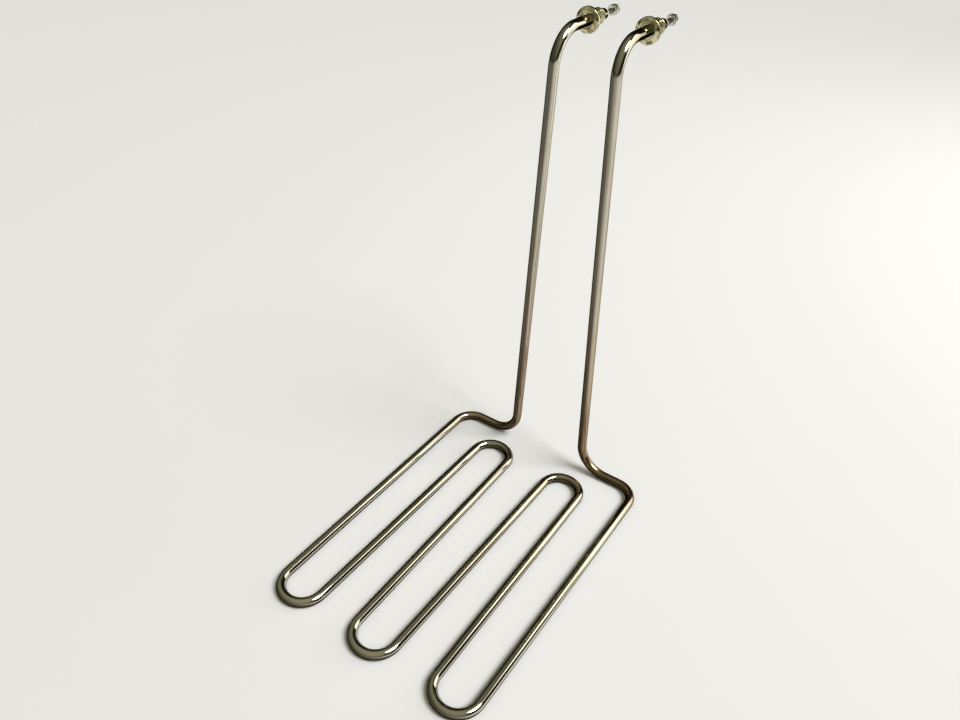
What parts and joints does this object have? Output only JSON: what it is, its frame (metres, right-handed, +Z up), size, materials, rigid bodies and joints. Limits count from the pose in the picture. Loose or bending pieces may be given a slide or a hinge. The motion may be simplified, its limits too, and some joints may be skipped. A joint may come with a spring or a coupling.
{
  "type": "tubular heating element",
  "caption": "Sheathed tube heater bent into a flat serpentine base, with upright risers ending in flanged threaded fittings and screw terminals.",
  "frame": {"origin": "middle of the overall footprint, on the underside of the serpentine base", "axes": "+X across the serpentine legs with the middle plane at X = 0, +Y from the front hairpins towards the terminals, +Z up from the base to the tails"},
  "size_m": [0.196, 0.3535, 0.3863],
  "materials": {
    "sheath": "bright polished stainless steel tube, faint draw lines",
    "heating_wire": "wound resistance wire, oxidised",
    "magnesia": "packed white powder",
    "stud": "plain steel pin and screw stud",
    "seal": "silicone sealing compound",
    "ceramic": "unglazed steatite",
    "fitting": "nickel-plated turned brass",
    "terminal_nut": "nickel-plated",
    "terminal_washer": "nickel-plated",
    "spring_steel": "zinc-plated spring steel"
  },
  "bodies": {
    "root": {"sheath": "sheath", "resistance_coil": "heating_wire", "magnesia_fill": "magnesia", "cold_pin_left": "stud", "cold_pin_right": "stud", "end_seal_left": "seal", "end_seal_right": "seal", "insulator_bush_left": "ceramic", "insulator_bush_right": "ceramic", "fitting_left": "fitting", "fitting_right": "fitting", "lock_nut_left": "terminal_nut", "lock_nut_right": "terminal_nut", "inner_washer_left": "terminal_washer", "inner_washer_right": "terminal_washer", "outer_washer_left": "terminal_washer", "outer_washer_right": "terminal_washer", "spring_washer_left": "spring_steel", "spring_washer_right": "spring_steel", "terminal_nut_left": "terminal_nut", "terminal_nut_right": "terminal_nut"}
  },
  "joints": []
}
